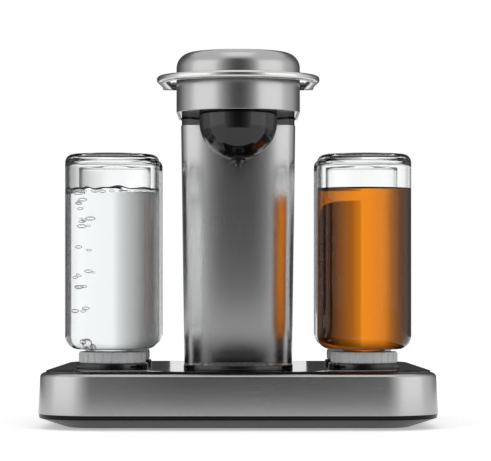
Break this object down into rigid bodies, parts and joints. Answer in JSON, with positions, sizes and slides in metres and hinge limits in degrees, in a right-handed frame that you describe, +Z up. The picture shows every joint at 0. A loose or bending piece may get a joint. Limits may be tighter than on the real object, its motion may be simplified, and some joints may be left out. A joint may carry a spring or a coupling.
{
  "type": "cocktail dispenser",
  "caption": "Countertop drink dispenser with upturned bottles on a low rounded base, a column with a capsule bowl and spout over a drip tray, and a ring handle that swings the lid up.",
  "frame": {"origin": "on the surface the feet stand on, under the middle of the whole dispenser's box", "axes": "+Z up, -Y towards the user at the front, +X to the right when seen from the front"},
  "size_m": [0.33, 0.2754, 0.3129],
  "materials": {
    "gunmetal_metal": "satin gunmetal finish",
    "satin_metal": "fine satin",
    "gloss_black": "high gloss",
    "moulded_black": "fine moulded grain",
    "milky_plastic": "fine moulded grain",
    "rubber_black": "matt",
    "steel": "bright",
    "bottle_glass": "clear",
    "clear_plastic": "clear moulded",
    "silicone": "translucent, matt",
    "circuit_board": "solder mask"
  },
  "bodies": {
    "base": {"base_pan": "moulded_black", "rubber_feet": "rubber_black", "base_screws": "steel", "base_band": "gunmetal_metal", "deck": "gloss_black", "display_lens": "gloss_black", "display_board": "circuit_board", "main_board": "circuit_board", "power_supply": "moulded_black", "mains_inlet": "moulded_black", "dock_front_left": "gloss_black", "dock_front_right": "gloss_black", "dock_rear_left": "gloss_black", "dock_rear_right": "gloss_black", "dock_probes": "steel", "dock_seals": "rubber_black", "tank_dock": "gloss_black", "spirit_lines": "silicone", "water_line": "silicone", "selector_block": "moulded_black", "selector_motor": "steel", "pump_motor": "steel", "pump_housing": "moulded_black", "pump_tube": "silicone", "delivery_line": "silicone", "column_sleeve": "gunmetal_metal", "column_spine": "moulded_black", "head_band": "gunmetal_metal", "head_frame": "gloss_black", "capsule_bowl": "gloss_black", "capsule_piercer": "steel", "spout": "gloss_black", "hinge_bracket": "gunmetal_metal", "hinge_damper": "moulded_black"},
    "lid": {"lid_dome": "gunmetal_metal", "lid_liner": "moulded_black", "lid_gasket": "rubber_black", "ring_handle": "satin_metal", "handle_lugs": "gunmetal_metal", "hinge_pin": "steel"},
    "bottle_set_front_left": {"bottle_front_left": "bottle_glass", "cap_front_left": "milky_plastic", "valve_front_left": "silicone"},
    "bottle_set_front_right": {"bottle_front_right": "bottle_glass", "cap_front_right": "milky_plastic", "valve_front_right": "silicone"},
    "bottle_set_rear_left": {"bottle_rear_left": "bottle_glass", "cap_rear_left": "milky_plastic", "valve_rear_left": "silicone"},
    "bottle_set_rear_right": {"bottle_rear_right": "bottle_glass", "cap_rear_right": "milky_plastic", "valve_rear_right": "silicone"},
    "tank_set": {"water_tank": "clear_plastic", "tank_valve": "silicone"},
    "tank_lid_body": {"tank_lid": "moulded_black"},
    "tray_body": {"drip_tray": "gloss_black"},
    "grate_body": {"drip_grate": "gunmetal_metal"},
    "rocker_body": {"power_rocker": "moulded_black"},
    "pump_rotor_body": {"pump_rotor": "clear_plastic"},
    "selector_rotor_body": {"selector_rotor": "silicone"}
  },
  "joints": [
    {"name": "lid_hinge", "type": "hinge", "parent": "base", "child": "lid", "pos_m": [0, 0, 0.2887], "axis": [-1, 0, 0], "range_deg": [0, 75]},
    {"name": "bottle_lift_front_left", "type": "slide", "parent": "base", "child": "bottle_set_front_left", "axis": [0, 0, 1], "range_m": [0, 0.045]},
    {"name": "bottle_lift_front_right", "type": "slide", "parent": "base", "child": "bottle_set_front_right", "axis": [0, 0, 1], "range_m": [0, 0.045]},
    {"name": "bottle_lift_rear_left", "type": "slide", "parent": "base", "child": "bottle_set_rear_left", "axis": [0, 0, 1], "range_m": [0, 0.045]},
    {"name": "bottle_lift_rear_right", "type": "slide", "parent": "base", "child": "bottle_set_rear_right", "axis": [0, 0, 1], "range_m": [0, 0.045]},
    {"name": "tank_lift", "type": "slide", "parent": "base", "child": "tank_set", "axis": [0, 0, 1], "range_m": [0, 0.03]},
    {"name": "tank_lid_lift", "type": "slide", "parent": "tank_set", "child": "tank_lid_body", "axis": [0, 0, 1], "range_m": [0, 0.02]},
    {"name": "tray_lift", "type": "slide", "parent": "base", "child": "tray_body", "axis": [0, 0, 1], "range_m": [0, 0.025]},
    {"name": "grate_lift", "type": "slide", "parent": "tray_body", "child": "grate_body", "axis": [0, 0, 1], "range_m": [0, 0.02]},
    {"name": "rocker_pivot", "type": "hinge", "parent": "base", "child": "rocker_body", "pos_m": [-0.093, 0.1305, 0.028], "axis": [-1, 0, 0], "range_deg": [0, 16]},
    {"name": "pump_spin", "type": "hinge", "parent": "base", "child": "pump_rotor_body", "pos_m": [0.0145, 0.042, 0.0235], "axis": [1, 0, 0], "continuous": true},
    {"name": "selector_turn", "type": "hinge", "parent": "base", "child": "selector_rotor_body", "pos_m": [0, 0.002, 0.015], "axis": [0, 0, 1], "range_deg": [0, 288]}
  ]
}
